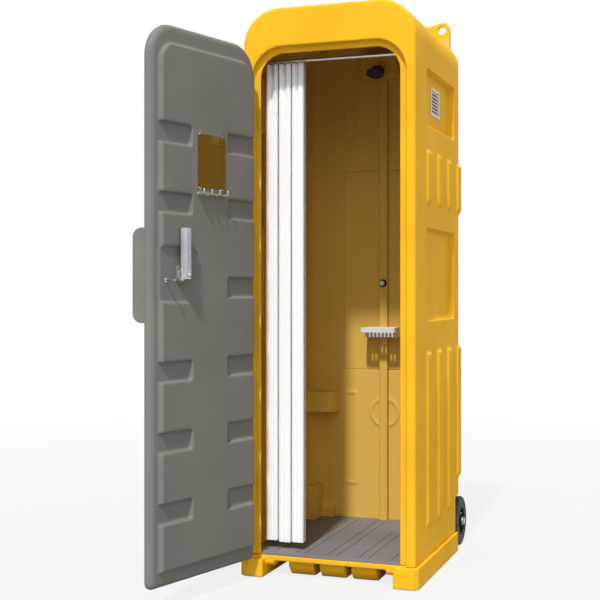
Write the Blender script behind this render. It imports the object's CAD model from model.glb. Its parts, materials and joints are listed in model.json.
import json
import math

import bmesh
import bpy
import numpy as np
from mathutils import Matrix, Vector


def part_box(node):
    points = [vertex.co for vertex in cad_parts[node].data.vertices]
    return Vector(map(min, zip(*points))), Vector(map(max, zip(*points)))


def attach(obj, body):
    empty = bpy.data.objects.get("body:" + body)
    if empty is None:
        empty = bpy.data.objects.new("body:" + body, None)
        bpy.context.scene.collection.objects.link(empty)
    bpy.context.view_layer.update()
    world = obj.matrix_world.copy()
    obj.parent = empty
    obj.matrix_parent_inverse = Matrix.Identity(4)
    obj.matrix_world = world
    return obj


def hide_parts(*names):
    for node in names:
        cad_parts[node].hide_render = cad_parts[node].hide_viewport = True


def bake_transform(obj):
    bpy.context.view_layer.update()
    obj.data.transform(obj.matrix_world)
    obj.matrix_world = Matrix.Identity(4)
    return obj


# Lengths in metres, places in the frame of the cabin: origin on the ground, +Z up, the doorway
# faces -Y.
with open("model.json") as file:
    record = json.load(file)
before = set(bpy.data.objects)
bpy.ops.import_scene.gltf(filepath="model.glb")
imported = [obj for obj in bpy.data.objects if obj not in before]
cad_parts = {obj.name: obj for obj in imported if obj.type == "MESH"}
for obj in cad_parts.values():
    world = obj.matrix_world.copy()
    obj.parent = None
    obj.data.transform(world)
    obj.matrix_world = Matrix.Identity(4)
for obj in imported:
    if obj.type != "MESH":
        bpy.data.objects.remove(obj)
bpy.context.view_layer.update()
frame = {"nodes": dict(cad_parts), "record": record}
nodes = frame["nodes"]
behaviour = frame["record"]["behaviour"]
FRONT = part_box("cabin_shell")[0].y


# Camera, fitted to the corners of the cabin in the photograph
CAMERA_AT = (1.4428, -4.764, 1.1546)
CAMERA_YAW = math.radians(19.753)
LEVEL = math.radians(90)
CAMERA_LENS = 69.07
SENSOR_WIDTH = 36
HORIZON_SHIFT = -0.0138
FAR_CLIP = 200


def make_camera():
    data = bpy.data.cameras.new("camera")
    data.lens = CAMERA_LENS
    data.sensor_width = SENSOR_WIDTH
    data.shift_y = HORIZON_SHIFT
    data.clip_end = FAR_CLIP
    camera = bpy.data.objects.new("camera", data)
    camera.location = CAMERA_AT
    camera.rotation_euler = (LEVEL, 0, CAMERA_YAW)
    bpy.context.scene.collection.objects.link(camera)
    bpy.context.scene.camera = camera


make_camera()


# Node trees
class Tree:
    """Short calls to add nodes to a tree and link them."""

    def __init__(self, tree):
        self.tree = tree

    def add(self, kind, **inputs):
        """A node; each keyword names an input, which takes a number or another node's output."""
        node = self.tree.nodes.new(kind)
        for key, value in inputs.items():
            self.set(node.inputs[key.replace("_", " ").title()], value)
        return node

    def set(self, socket, value):
        if isinstance(value, bpy.types.NodeSocket):
            self.tree.links.new(value, socket)
        else:
            socket.default_value = value

    def math(self, operation, *values):
        node = self.tree.nodes.new("ShaderNodeMath")
        node.operation = operation
        for socket, value in zip(node.inputs, values):
            self.set(socket, value)
        return node.outputs[0]

    def vector_math(self, operation, *vectors):
        """The number that a vector operation gives."""
        node = self.tree.nodes.new("ShaderNodeVectorMath")
        node.operation = operation
        for socket, vector in zip(node.inputs, vectors):
            self.set(socket, vector)
        return node.outputs["Value"]

    def mix_shader(self, fac, a, b):
        node = self.tree.nodes.new("ShaderNodeMixShader")
        for socket, value in zip(node.inputs, (fac, a, b)):
            self.set(socket, value)
        return node.outputs[0]


class Nodes(Tree):
    """The node tree of one material."""

    def __init__(self, name, color, rough, metallic=0.0):
        self.material = bpy.data.materials.new(name)
        self.material.use_nodes = True
        super().__init__(self.material.node_tree)
        self.shader = self.tree.nodes["Principled BSDF"]
        self.shader.inputs["Base Color"].default_value = (*color, 1)
        self.shader.inputs["Roughness"].default_value = rough
        self.shader.inputs["Metallic"].default_value = metallic
        self.place = self.add("ShaderNodeTexCoord").outputs["Object"]
        self.normal = None

    def stretched(self, scale):
        return self.add("ShaderNodeMapping", vector=self.place, scale=scale).outputs["Vector"]

    def noise(self, scale, detail=3.0, rough=0.5, place=None):
        node = self.add("ShaderNodeTexNoise", vector=place or self.place, scale=scale,
                        detail=detail, roughness=rough)
        return node.outputs["Fac"]

    def ramp(self, value, low, high, start=0.35, end=0.65):
        """low where the value is start or less, high where it is end or more."""
        node = self.add("ShaderNodeMapRange", value=value, from_min=start, from_max=end,
                        to_min=low, to_max=high)
        return node.outputs["Result"]

    def mix(self, fac, a, b):
        """A colour between a and b; each is a colour or another node's output."""
        node = self.tree.nodes.new("ShaderNodeMix")
        node.data_type = "RGBA"
        self.set(node.inputs["Factor"], fac)
        for socket, value in ((node.inputs[6], a), (node.inputs[7], b)):
            self.set(socket, value if isinstance(value, bpy.types.NodeSocket) else (*value, 1))
        return node.outputs[2]

    def color(self, socket):
        self.tree.links.new(socket, self.shader.inputs["Base Color"])

    def roughness(self, value, low, high):
        self.tree.links.new(self.ramp(value, low, high), self.shader.inputs["Roughness"])

    def bump(self, height, distance, strength=1.0):
        """Adds a layer of relief on top of those before it."""
        node = self.add("ShaderNodeBump", height=height, strength=strength, distance=distance)
        if self.normal is not None:
            self.tree.links.new(self.normal, node.inputs["Normal"])
        self.normal = node.outputs["Normal"]
        self.tree.links.new(self.normal, self.shader.inputs["Normal"])


def shade(color, factor):
    return tuple(min(1.0, c * factor) for c in color)


# The duller inner faces of the shell lie in a box between its outer faces. They are its side
# walls, which face inwards along X, and faces further in than CAVITY_DEEP that look towards the
# middle. Above CAVITY_ROOF the middle counts as below them.
CAVITY_LOW = (-0.356, FRONT + 0.036, 0.09)
CAVITY_HIGH = (0.356, 0.426, 2.296)
CAVITY_DEEP = 0.326
CAVITY_ROOF = 2.1
ROOF_PULL = 3.0
FACES_IN = -0.3
LOOKS_AWAY = 0.12


def cavity(m):
    """1 on the inner faces of the shell, else 0."""
    normal = m.add("ShaderNodeTexCoord").outputs["Normal"]
    face_x = m.add("ShaderNodeSeparateXYZ", vector=normal).outputs["X"]
    x, y, z = m.add("ShaderNodeSeparateXYZ", vector=m.place).outputs
    outwards = m.math("MULTIPLY", face_x, m.math("SIGN", x))
    side = m.math("LESS_THAN", outwards, FACES_IN)
    over = m.math("MAXIMUM", m.math("SUBTRACT", z, CAVITY_ROOF), 0.0)
    from_middle = m.add("ShaderNodeCombineXYZ", x=x, y=y, z=m.math("MULTIPLY", over, ROOF_PULL))
    away = m.vector_math("DOT_PRODUCT", normal, from_middle.outputs[0])
    deep = m.math("MULTIPLY", m.math("LESS_THAN", away, LOOKS_AWAY),
                  m.math("LESS_THAN", m.math("ABSOLUTE", x), CAVITY_DEEP))
    total = m.math("MAXIMUM", side, deep)
    for axis, low, high in zip((x, y, z), CAVITY_LOW, CAVITY_HIGH):
        off = m.math("ABSOLUTE", m.math("SUBTRACT", axis, (low + high) / 2))
        total = m.math("MULTIPLY", total, m.math("LESS_THAN", off, (high - low) / 2))
    return total


# Materials. Colours are linear; grain and wave are heights of relief in metres.
YELLOW = (0.89, 0.475, 0.022)
INNER_YELLOW = (0.72, 0.465, 0.10)
DOOR_GREY = (0.222, 0.21, 0.188)
TRAY_GREY = (0.225, 0.214, 0.214)
OFF_WHITE = (0.78, 0.78, 0.76)
BLACK = (0.025, 0.025, 0.027)
HEAD_BROWN = (0.075, 0.068, 0.06)
DUST = (0.42, 0.38, 0.32)
DUST_SHARE = 0.55
SPECULAR = 0.01
SCUFFED = 0.72


def moulded(name, color, rough, mottle=0.07, grain=0.00025, wave=0.0006, dust=None, inside=None):
    """Rotomoulded or injected plastic: cloudy colour, scuffs, pebbled grain and slow waves.

    dust is the height to which dust reaches from the ground, inside the colour of inner faces.
    """
    m = Nodes(name, color, rough)
    m.shader.inputs["Specular IOR Level"].default_value = SPECULAR
    clouds = m.ramp(m.noise(3.2, detail=4), 0, 1)
    tone = m.mix(clouds, shade(color, 1 - mottle), shade(color, 1 + mottle / 2))
    scratches = m.noise(38, detail=6, rough=0.7, place=m.stretched((1, 1, 0.25)))
    tone = m.mix(m.ramp(scratches, 0, 0.22, start=0.60, end=0.78), tone, shade(color, SCUFFED))
    if dust:
        height = m.add("ShaderNodeSeparateXYZ", vector=m.place).outputs["Z"]
        low_down = m.ramp(height, DUST_SHARE, 0, start=0.0, end=dust)
        patchy = m.math("MULTIPLY", low_down, m.ramp(m.noise(16, detail=5), 0.1, 1))
        tone = m.mix(patchy, tone, DUST)
    if inside:
        tone = m.mix(cavity(m), tone, inside)
    m.color(tone)
    m.roughness(m.noise(9, detail=4), rough - 0.05, rough + 0.09)
    if wave:
        m.bump(m.noise(4.5, detail=1), wave)
    m.bump(m.noise(620, detail=2), grain, strength=0.55)
    return m.material


def metal(name, color, rough=0.28):
    """Metal with fine level lines, as brushed."""
    m = Nodes(name, color, rough, metallic=1.0)
    lines = m.noise(60, detail=3, rough=0.6, place=m.stretched((1, 1, 30)))
    m.color(m.mix(m.ramp(lines, 0, 1), shade(color, 0.86), color))
    m.roughness(lines, rough - 0.06, rough + 0.1)
    m.bump(lines, 0.00006, strength=0.5)
    return m.material


def mirror_material():
    """Acrylic mirror, a little wavy."""
    m = Nodes("acrylic_mirror", (0.92, 0.90, 0.88), 0.025, metallic=1.0)
    m.roughness(m.noise(12, detail=4), 0.015, 0.05)
    m.bump(m.noise(7, detail=1), 0.0002)
    return m.material


def clear_material():
    """Milky clear plastic."""
    m = Nodes("clear_moulding", (0.80, 0.83, 0.88), 0.16)
    m.shader.inputs["Transmission Weight"].default_value = 0.62
    m.shader.inputs["IOR"].default_value = 1.49
    m.roughness(m.noise(30), 0.1, 0.24)
    m.bump(m.noise(160, detail=2), 0.0001)
    return m.material


def rubber_material():
    color = (0.022, 0.022, 0.023)
    m = Nodes("tyre_rubber", color, 0.7)
    dusty = m.ramp(m.noise(26, detail=5, rough=0.7), 0, 0.5, start=0.5, end=0.75)
    m.color(m.mix(dusty, color, (0.085, 0.078, 0.07)))
    m.roughness(m.noise(40, detail=4), 0.6, 0.85)
    m.bump(m.noise(500), 0.0003)
    return m.material


def curtain_material():
    """Thin white cloth: plain weave along its own surface, a little light coming through."""
    color = (0.96, 0.96, 0.96)
    light_depth = 0.03
    threads = 420.0
    m = Nodes("curtain_cloth", color, 0.75)
    m.shader.inputs["Sheen Weight"].default_value = 0.25
    m.shader.inputs["Subsurface Weight"].default_value = 0.5
    m.shader.inputs["Subsurface Radius"].default_value = (light_depth, light_depth, light_depth)
    m.shader.inputs["Subsurface Scale"].default_value = 1.0
    uv = m.add("ShaderNodeTexCoord").outputs["UV"]
    for direction in ("X", "Y"):
        thread = m.add("ShaderNodeTexWave", vector=uv, scale=threads)
        thread.bands_direction = direction
        m.bump(thread.outputs["Fac"], 0.00003, strength=0.3)
    clouds = m.ramp(m.noise(14, detail=4), 0, 1)
    m.color(m.mix(clouds, shade(color, 0.985), shade(color, 1.01)))
    m.bump(m.noise(26, detail=4), 0.0002, strength=0.4)
    return m.material


shell_mat = moulded("shell_polyethylene", YELLOW, 0.48, inside=INNER_YELLOW)
base_mat = moulded("base_polyethylene", YELLOW, 0.5, dust=0.015)
door_mat = moulded("door_polyethylene", DOOR_GREY, 0.44, grain=0.0003)
tray_mat = moulded("tray_polyethylene", TRAY_GREY, 0.55, mottle=0.12, grain=0.0004)
white_mat = moulded("white_moulding", OFF_WHITE, 0.3, mottle=0.03, grain=0.00008, wave=0)
black_mat = moulded("black_moulding", BLACK, 0.4, mottle=0.2, grain=0.00015, wave=0)
head_mat = moulded("shower_head_moulding", HEAD_BROWN, 0.35, mottle=0.15, grain=0.0001, wave=0)
steel_mat = metal("zinc_plated_steel", (0.62, 0.62, 0.61))
chrome_mat = metal("polished_steel", (0.72, 0.72, 0.72), 0.14)
brass_mat = metal("brass_fitting", (0.66, 0.46, 0.2), 0.3)
mirror_mat = mirror_material()
clear_mat = clear_material()
rubber_mat = rubber_material()
cloth_mat = curtain_material()

NODE_MATERIALS = {
    shell_mat: ["cabin_shell", "service_hatch", "riser_cover"],
    base_mat: ["base_skid"],
    tray_mat: ["floor_tray"],
    door_mat: ["door_shell", "outer_handle", "latch_housing"],
    steel_mat: ["drain_grate", "hatch_screws", "curtain_rail", "rail_sockets", "hinge_pins",
                "wheel_axles", "axle_caps", "mirror_clips", "hook_rail", "latch_peg",
                "curtain_ring_1", "curtain_ring_2", "curtain_ring_3", "curtain_ring_4"],
    white_mat: ["push_button", "soap_tray", "soap_bracket", "vent_grille_left",
                "vent_grille_right"],
    black_mat: ["waste_outlet", "valve_collar", "hinge_frame_leaves", "hinge_door_leaves",
                "wheel_hub_left", "wheel_hub_right"],
    head_mat: ["shower_arm", "shower_rose"],
    brass_mat: ["riser_pipe", "water_inlet"],
    mirror_mat: ["mirror_glass"],
    clear_mat: ["latch_lever"],
    rubber_mat: ["tyre_left", "tyre_right"],
    cloth_mat: ["curtain_panel_1", "curtain_panel_2", "curtain_panel_3"],
}


def paint(piece, material):
    piece.data.materials.clear()
    piece.data.materials.append(material)


for material, names in NODE_MATERIALS.items():
    for name in names:
        paint(nodes[name], material)


# Soft edges
BODY_OF = {node: body for body, group in behaviour["bodies"].items() for node in group}
WELD_GAP = 1e-6
SMOOTH_SHARE = 0.5
FLAT_FACE_WEIGHT = 60
EDGE_ANGLE = math.radians(35)
EDGE_SEGMENTS = 2

# Moulding: material, voxel size, rounds of smoothing, share of the faces that stay
MOULDINGS = {
    "cabin_shell": (shell_mat, 0.004, 6, 0.25),
    "door_shell": (door_mat, 0.004, 6, 0.3),
    "base_skid": (base_mat, 0.004, 6, 0.3),
    "outer_handle": (door_mat, 0.0025, 10, 0.4),
}

# Node that keeps its mesh: width of its edges
EDGES = {
    "service_hatch": 0.0015, "riser_cover": 0.0015, "floor_tray": 0.0008,
    "soap_tray": 0.0015, "soap_bracket": 0.0012, "vent_grille_left": 0.0006,
    "vent_grille_right": 0.0006, "latch_lever": 0.0012, "latch_housing": 0.0012,
    "mirror_glass": 0.0008, "valve_collar": 0.001, "push_button": 0.0012,
    "axle_caps": 0.0008, "drain_grate": 0.0006, "shower_rose": 0.001, "shower_arm": 0.0006,
    "wheel_hub_left": 0.001, "wheel_hub_right": 0.001, "hinge_frame_leaves": 0.0006,
    "hinge_door_leaves": 0.0006,
}


def add_piece(name, mesh, body, material):
    """A new object; a piece that is blended between bodies has none of its own yet."""
    piece = bpy.data.objects.new(name, mesh)
    bpy.context.scene.collection.objects.link(piece)
    paint(piece, material)
    if body:
        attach(piece, body)
    return piece


def weighted_normals(piece):
    """Smooth shading that leaves large faces flat."""
    piece.data.shade_smooth()
    normals = piece.modifiers.new("flat_faces", "WEIGHTED_NORMAL")
    normals.mode = "FACE_AREA"
    normals.weight = FLAT_FACE_WEIGHT


def welded(mesh):
    copy = mesh.copy()
    shape = bmesh.new()
    shape.from_mesh(copy)
    bmesh.ops.remove_doubles(shape, verts=shape.verts, dist=WELD_GAP)
    shape.to_mesh(copy)
    shape.free()
    return copy


def softened(node, material, voxel, rounds, keep):
    """Stands for a moulded CAD node, with all its edges rounded as a moulding has them."""
    work = bpy.data.objects.new("work", welded(nodes[node].data))
    bpy.context.scene.collection.objects.link(work)
    remesh = work.modifiers.new("voxels", "REMESH")
    remesh.mode = "VOXEL"
    remesh.voxel_size = voxel
    smooth = work.modifiers.new("smooth", "SMOOTH")
    smooth.factor = SMOOTH_SHARE
    smooth.iterations = rounds
    work.modifiers.new("fewer", "DECIMATE").ratio = keep
    graph = bpy.context.evaluated_depsgraph_get()
    mesh = bpy.data.meshes.new_from_object(work.evaluated_get(graph), depsgraph=graph)
    bpy.data.objects.remove(work)
    piece = add_piece(node + "_moulding", mesh, BODY_OF[node], material)
    weighted_normals(piece)
    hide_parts(node)


def bevelled(node, width):
    """Small rounded edges on a CAD node that keeps its own mesh."""
    piece = nodes[node]
    piece.modifiers.new("weld", "WELD").merge_threshold = WELD_GAP
    bevel = piece.modifiers.new("edges", "BEVEL")
    bevel.width = width
    bevel.segments = EDGE_SEGMENTS
    bevel.limit_method = "ANGLE"
    bevel.angle_limit = EDGE_ANGLE
    weighted_normals(piece)


for name, how in MOULDINGS.items():
    softened(name, *how)
for name, width in EDGES.items():
    bevelled(name, width)


# Fastenings and trim. Places on the door are those of the closed door, turned open by TO_OPEN.
HINGE_AXIS = Vector((-0.322, -0.443, 0))
TO_OPEN = (Matrix.Translation(HINGE_AXIS) @ Matrix.Rotation(math.radians(-105), 4, "Z")
           @ Matrix.Translation(-HINGE_AXIS))
TO_CLOSED = TO_OPEN.inverted()
FORWARD, BACKWARD, UP = (0, -1, 0), (0, 1, 0), (0, 0, 1)

# Screw head with a hexagon socket: shares of its radius and height, from the rim to the socket
HEAD_HEIGHT = 0.62
HEAD_PROFILE = ((1, 0), (1, 0.3), (0.9, 0.7), (0.66, 0.97), (0.5, 1), (0.47, 0.94), (0.45, 0.3))
SOCKET_RINGS = (5, 6)
HALF_SIDE = math.pi / 6

HINGE_LEVELS = (0.350, 1.107, 1.864)
FRAME_LEAF_X, FRAME_LEAF_Y = -0.3405, -0.4325
FRAME_LEAF_STEPS = (-0.045, 0, 0.045)
DOOR_LEAF_XS, DOOR_LEAF_Y = (-0.272, -0.245), -0.4545
DOOR_LEAF_STEPS = (-0.042, 0.042)
GRILLE_MARGIN = 0.0045
SOCKET_FACE_X = 0.349
SOCKET_SCREWS = (-0.017, 0.017)
ARM_Z = 2.168
ARM_FLANGE = 0.005
ARM_CIRCLE = 0.017
ARM_ANGLES = (0.52, 2.62, 4.71)
GRATE_SCREWS = (-0.047, 0.047)
WASHER_Y = -0.389
WASHER_PROFILE = [(0.0176, 0), (0.0245, 0), (0.0245, 0.0016), (0.0236, 0.0022),
                  (0.0185, 0.0022), (0.0176, 0.0016), (0.0176, 0.0001)]
WASHER_SEGMENTS = 36
WHEEL_FACE_DEPTH = 0.032
BOLT_CIRCLE = 0.0465
BOLTS = 5
FIRST_BOLT = 36


def turned(profile, segments=24, six_sided=()):
    """Mesh of (radius, height) points turned round Z; the rings listed last are hexagons."""
    shape = bmesh.new()
    rings = []
    for k, (radius, height) in enumerate(profile):
        ring = []
        for i in range(segments):
            angle = 2 * math.pi * i / segments
            r = radius
            if k in six_sided:
                from_side = (angle + HALF_SIDE) % (2 * HALF_SIDE) - HALF_SIDE
                r *= math.cos(HALF_SIDE) / math.cos(from_side)
            ring.append(shape.verts.new((r * math.cos(angle), r * math.sin(angle), height)))
        rings.append(ring)
    for low, high in zip(rings, rings[1:]):
        for i in range(segments):
            j = (i + 1) % segments
            shape.faces.new((low[i], low[j], high[j], high[i]))
    shape.faces.new(rings[-1])
    mesh = bpy.data.meshes.new("turned")
    shape.to_mesh(mesh)
    shape.free()
    return mesh


def screw(radius):
    height = radius * HEAD_HEIGHT
    return turned([(r * radius, h * height) for r, h in HEAD_PROFILE], six_sided=SOCKET_RINGS)


def facing(point, normal):
    turn = Vector(normal).to_track_quat("Z", "Y").to_matrix().to_4x4()
    return Matrix.Translation(point) @ turn


def copies(name, mesh, places, body, material, frame_of=Matrix()):
    """One piece made of copies of a mesh at (point, normal) places."""
    shape = bmesh.new()
    for point, normal in places:
        copy = mesh.copy()
        copy.transform(frame_of @ facing(point, normal))
        shape.from_mesh(copy)
        bpy.data.meshes.remove(copy)
    joined = bpy.data.meshes.new(name)
    shape.to_mesh(joined)
    shape.free()
    weighted_normals(add_piece(name, joined, body, material))


def hinge_screws():
    places = [((FRAME_LEAF_X, FRAME_LEAF_Y, z + dz), FORWARD)
              for z in HINGE_LEVELS for dz in FRAME_LEAF_STEPS]
    copies("hinge_frame_screws", screw(0.0042), places, "cabin", steel_mat)
    places = [((x, DOOR_LEAF_Y, z + dz), FORWARD)
              for z in HINGE_LEVELS for x in DOOR_LEAF_XS for dz in DOOR_LEAF_STEPS]
    copies("hinge_door_screws", screw(0.0048), places, "door", steel_mat, TO_OPEN)


def grille_screws(name, side):
    low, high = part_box(name)
    face = high.x if side > 0 else low.x
    places = [((face, y, z), (side, 0, 0))
              for y in (low.y + GRILLE_MARGIN, high.y - GRILLE_MARGIN)
              for z in (low.z + GRILLE_MARGIN, high.z - GRILLE_MARGIN)]
    copies(name + "_screws", screw(0.0026), places, "cabin", steel_mat)


def rail_screws():
    low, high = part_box("rail_sockets")
    y, z = (low.y + high.y) / 2, (low.z + high.z) / 2
    places = [((side * SOCKET_FACE_X, y + dy, z), (-side, 0, 0))
              for side in (-1, 1) for dy in SOCKET_SCREWS]
    copies("rail_socket_screws", screw(0.003), places, "cabin", chrome_mat)


def arm_screws():
    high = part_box("shower_arm")[1]
    places = [((ARM_CIRCLE * math.cos(t), high.y - ARM_FLANGE, ARM_Z + ARM_CIRCLE * math.sin(t)),
               FORWARD) for t in ARM_ANGLES]
    copies("shower_arm_screws", screw(0.003), places, "cabin", chrome_mat)


def drain_screws():
    low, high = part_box("drain_grate")
    centre = (low + high) / 2
    places = [((centre.x, centre.y + dy, high.z), UP) for dy in GRATE_SCREWS]
    copies("drain_screws", screw(0.0035), places, "cabin", steel_mat)


def latch_trim():
    """Screw on the lever's axis, and the washer behind the lever."""
    joint = next(j for j in behaviour["joints"] if j["name"] == "latch_turn")
    axis = TO_CLOSED @ Vector(joint["pos_m"])
    lever_front = max((TO_CLOSED @ v.co).y for v in nodes["latch_lever"].data.vertices)
    copies("latch_screw", screw(0.0085), [((axis.x, lever_front, axis.z), BACKWARD)],
           "latch_lever", chrome_mat, TO_OPEN)
    copies("latch_washer", turned(WASHER_PROFILE, WASHER_SEGMENTS),
           [((axis.x, WASHER_Y, axis.z), BACKWARD)], "door", chrome_mat, TO_OPEN)


def wheel_bolts(name, side):
    low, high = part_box("wheel_hub_" + name)
    tyre_low, tyre_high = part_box("tyre_" + name)
    centre = (low + high) / 2
    face = tyre_low.x + WHEEL_FACE_DEPTH if side > 0 else tyre_high.x - WHEEL_FACE_DEPTH
    angles = [math.radians(FIRST_BOLT + 360 / BOLTS * k) for k in range(BOLTS)]
    places = [((face, centre.y + BOLT_CIRCLE * math.cos(t), centre.z + BOLT_CIRCLE * math.sin(t)),
               (side, 0, 0)) for t in angles]
    copies(f"wheel_bolts_{name}", screw(0.0045), places, "wheel_" + name, steel_mat)


hinge_screws()
grille_screws("vent_grille_right", 1)
grille_screws("vent_grille_left", -1)
rail_screws()
arm_screws()
drain_screws()
latch_trim()
wheel_bolts("right", 1)
wheel_bolts("left", -1)


# Curtain: three gathered columns of cloth below the rings
CURTAIN_Y = FRONT + 0.130
FOLD_W = 0.057
FOLD_D = 0.042
FOLD_X0 = -0.308
HEM_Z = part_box("curtain_panel_1")[0].z
CLOTH_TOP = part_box("curtain_ring_1")[0].z + 0.007
GATHER_L = 0.25
HEM_L = 0.35
HEM_DROP = 0.003
CLOTH_ROWS = 90
CURVE_STEPS = 4

# One column seen from above, in shares of its width and depth: along the front of the fold,
# back, and round a hidden inner pleat
COLUMN = [(0.0, 0.02), (0.03, -0.26), (0.09, -0.42), (0.24, -0.47), (0.38, -0.46),
          (0.50, -0.445), (0.62, -0.46), (0.76, -0.47), (0.91, -0.42), (0.955, -0.26),
          (0.90, 0.02), (0.74, 0.16), (0.56, 0.02), (0.42, 0.04), (0.30, 0.24), (0.46, 0.42),
          (0.76, 0.44), (0.93, 0.36), (0.975, 0.18), (1.0, 0.02)]

# Lengths below are shares of the fold's width or depth, unless they are phases
FRONT_BEGINS = -0.15
FRONT_BLEND = 0.25
PANEL_PHASE = 1.7
WEDGE_AT, WEDGE_WANDER = 0.46, 0.05
WEDGE_HEM_W, WEDGE_SPREAD = 0.05, 0.09
WEDGE_DEPTH = 0.6
PLEAT_DEPTH, PLEAT_RATE = 0.05, 18
RIPPLE_DEPTH, RIPPLE_HEM = 0.018, 0.05
RIPPLES, RIPPLE_LEAN, RIPPLE_RATE = 3.2, 0.11, 2.3
SWAY, SWAY_RATE = 0.03, 1.9
SIDE_MARGIN = 0.01
NARROWING = 0.16


def spline(points, steps):
    """Points on a smooth curve through a list of points."""
    p = np.array([points[0], *points, points[-1]], float)
    out = []
    for i in range(1, len(p) - 2):
        for k in range(steps):
            t = k / steps
            out.append(0.5 * (2 * p[i] + (p[i + 1] - p[i - 1]) * t
                              + (2 * p[i - 1] - 5 * p[i] + 4 * p[i + 1] - p[i + 2]) * t * t
                              + (3 * p[i] - p[i - 1] - 3 * p[i + 1] + p[i + 2]) * t ** 3))
    out.append(p[-2])
    return np.array(out)


def smooth_step(t):
    t = min(1.0, max(0.0, t))
    return t * t * (3 - 2 * t)


def curtain_point(u, d, z, panel):
    """Place of a cloth point: u across the column, d its depth, both as shares of the fold."""
    top = smooth_step((z - (CLOTH_TOP - GATHER_L)) / GATHER_L)
    hem = smooth_step((HEM_Z + HEM_L - z) / HEM_L)
    front = smooth_step((FRONT_BEGINS - d) / FRONT_BLEND)
    phase = PANEL_PHASE * panel
    # The gathers under a ring: one deep wedge and small pleats
    wedge_u = u - WEDGE_AT - WEDGE_WANDER * math.sin(phase)
    wedge = math.exp(-(wedge_u / (WEDGE_HEM_W + WEDGE_SPREAD * top)) ** 2)
    pleats = PLEAT_DEPTH * math.sin(PLEAT_RATE * u + phase)
    depth = d + front * top * (WEDGE_DEPTH * wedge + pleats)
    # Ripples down the front, deeper at the hem
    turns = RIPPLES * u + RIPPLE_LEAN * math.sin(RIPPLE_RATE * z + phase)
    depth += front * (RIPPLE_DEPTH + RIPPLE_HEM * hem) * math.sin(2 * math.pi * turns)
    sway = SWAY * math.sin(SWAY_RATE * z + phase) * math.sin(math.pi * u)
    across = min(1 - SIDE_MARGIN, max(SIDE_MARGIN, u + sway * (1 - top)))
    narrow = 0.5 + (across - 0.5) * (1 - NARROWING * top * front)
    x = FOLD_X0 + (panel - 1 + narrow) * FOLD_W
    return Vector((x, CURTAIN_Y + depth * FOLD_D, z))


def curtain_panel(panel):
    """One column between two rings; returns its flat width."""
    profile = spline(COLUMN, CURVE_STEPS)
    heights = np.linspace(HEM_Z, CLOTH_TOP, CLOTH_ROWS)
    rows = []
    for z in heights:
        drop = HEM_DROP * math.sin(2.1 * panel) if z == HEM_Z else 0
        rows.append([curtain_point(u, d, z + drop, panel) for u, d in profile])
    shape = bmesh.new()
    grid = [[shape.verts.new(p) for p in row] for row in rows]
    layer = shape.loops.layers.uv.new("cloth")
    steps = [(b - a).length for a, b in zip(rows[0], rows[0][1:])]
    along = np.concatenate([[0], np.cumsum(steps)])
    for r in range(len(rows) - 1):
        for c in range(len(profile) - 1):
            corners = ((c, r), (c + 1, r), (c + 1, r + 1), (c, r + 1))
            face = shape.faces.new([grid[j][i] for i, j in corners])
            for loop, (i, j) in zip(face.loops, corners):
                loop[layer].uv = (along[i], heights[j])
    mesh = bpy.data.meshes.new(f"curtain_{panel}")
    shape.to_mesh(mesh)
    shape.free()
    mesh.shade_smooth()
    piece = add_piece(f"curtain_cloth_{panel}", mesh, None, cloth_mat)
    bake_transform(piece)
    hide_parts(f"curtain_panel_{panel}")
    return float(along[-1])


flat_widths = [curtain_panel(i) for i in (1, 2, 3)]


# Light, floor and background. Strengths are those of the lamps, the world and the floor's glow;
# the glow grows from the first to the second strength over the distances of FLOOR_FADE.
SUNS = (
    ("key_light", (-0.05, 1, -1.32), 2.8, 3.5),
    ("front_fill", (-0.25, 1, -0.45), 0.32, 30),
    ("side_light", (-0.55, -0.8, -0.12), 0.25, 12),
)
BACKGROUND = 1.0
AMBIENT = 0.72
SKY = (0.93, 0.96, 1.0, 1)
WHITE = (1, 1, 1, 1)
FLOOR_SHADOW = 0.26
FLOOR_GLOW = 1.10, 1.20
FLOOR_FADE = 2.0, 7.0
FLOOR_REACH = 60
FLOOR_Z = -0.0005


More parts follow.
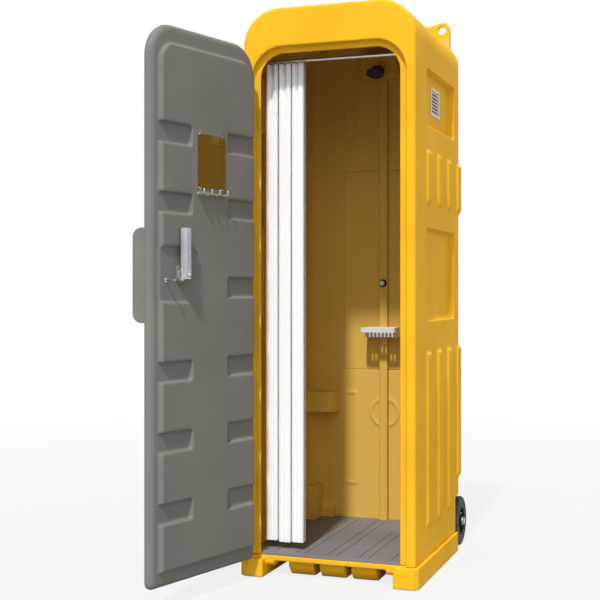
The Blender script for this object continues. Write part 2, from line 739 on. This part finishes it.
def sun(name, direction, strength, angle):
    data = bpy.data.lights.new(name, "SUN")
    data.energy = strength
    data.angle = math.radians(angle)
    lamp = bpy.data.objects.new(name, data)
    lamp.rotation_mode = "QUATERNION"
    lamp.rotation_quaternion = Vector(direction).to_track_quat("-Z", "Y")
    bpy.context.scene.collection.objects.link(lamp)


def make_world():
    """Lights the object evenly, and shows as white to the camera and in gloss and clear parts."""
    world = bpy.data.worlds.new("studio")
    world.use_nodes = True
    world.node_tree.nodes.clear()
    w = Tree(world.node_tree)
    rays = w.add("ShaderNodeLightPath").outputs
    seen = w.math("MAXIMUM", rays["Is Camera Ray"],
                  w.math("MAXIMUM", rays["Is Glossy Ray"], rays["Is Transmission Ray"]))
    fill = w.add("ShaderNodeBackground", color=SKY, strength=AMBIENT)
    white = w.add("ShaderNodeBackground", color=WHITE, strength=BACKGROUND)
    w.add("ShaderNodeOutputWorld", surface=w.mix_shader(seen, fill.outputs[0], white.outputs[0]))
    bpy.context.scene.world = world


def make_floor():
    """Pale floor that glows white to the camera and in gloss, and keeps the object's shadow."""
    r = FLOOR_REACH
    mesh = bpy.data.meshes.new("floor")
    mesh.from_pydata([(-r, -r, 0), (r, -r, 0), (r, r, 0), (-r, r, 0)], [], [(0, 1, 2, 3)])
    floor = bpy.data.objects.new("floor", mesh)
    floor.location.z = FLOOR_Z
    bpy.context.scene.collection.objects.link(floor)
    m = Nodes("floor_pale", (0.3, 0.3, 0.3), 0.9)
    clouds = m.ramp(m.noise(0.8, detail=2), 0, 1)
    m.color(m.mix(clouds, (0.29, 0.29, 0.29), (0.31, 0.31, 0.31)))
    far = m.vector_math("LENGTH", m.place)
    glow = m.add("ShaderNodeEmission", color=WHITE,
                 strength=m.ramp(far, *FLOOR_GLOW, *FLOOR_FADE))
    rays = m.add("ShaderNodeLightPath").outputs
    seen = m.math("MAXIMUM", rays["Is Camera Ray"], rays["Is Glossy Ray"])
    share = m.math("MULTIPLY", seen, 1 - FLOOR_SHADOW)
    blend = m.mix_shader(share, m.shader.outputs[0], glow.outputs[0])
    m.tree.links.new(blend, m.tree.nodes["Material Output"].inputs["Surface"])
    floor.data.materials.append(m.material)


for lamp in SUNS:
    sun(*lamp)
make_world()
make_floor()
bpy.context.scene.view_settings.view_transform = "Standard"
